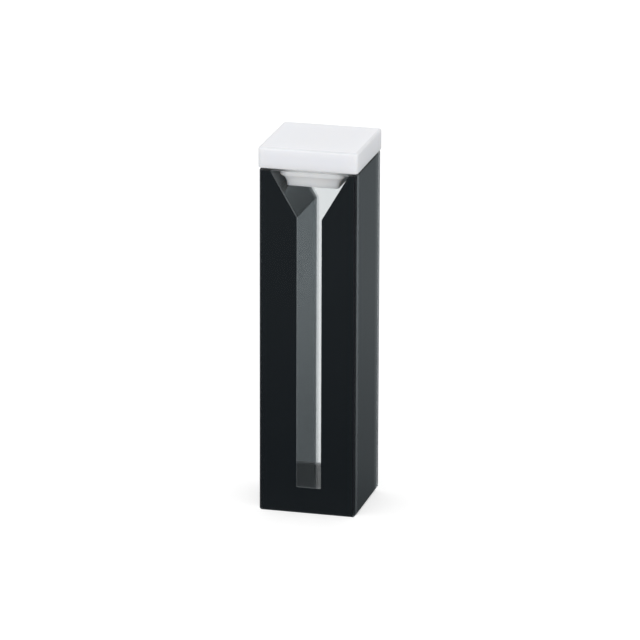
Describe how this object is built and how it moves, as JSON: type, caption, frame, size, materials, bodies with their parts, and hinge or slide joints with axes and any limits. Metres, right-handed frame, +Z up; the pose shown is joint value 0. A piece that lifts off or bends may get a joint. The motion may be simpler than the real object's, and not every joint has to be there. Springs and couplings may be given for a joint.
{
  "type": "cuvette",
  "caption": "Square spectrophotometer cuvette with clear windows, black side walls around a narrow funnel-topped chamber, and a white push-in lid.",
  "frame": {"origin": "centre of the cell's underside", "axes": "+Z up along the cell, -Y towards the front window, Y along the light path, X across the black walls"},
  "size_m": [0.0128, 0.0128, 0.0477],
  "materials": {
    "window_quartz": "polished clear fused quartz",
    "black_quartz": "polished black quartz",
    "white_fluoropolymer": "smooth, slightly waxy white"
  },
  "bodies": {
    "root": {"front_window": "window_quartz", "rear_window": "window_quartz", "left_wall": "black_quartz", "right_wall": "black_quartz", "base_block": "black_quartz", "lid": "white_fluoropolymer"}
  },
  "joints": []
}
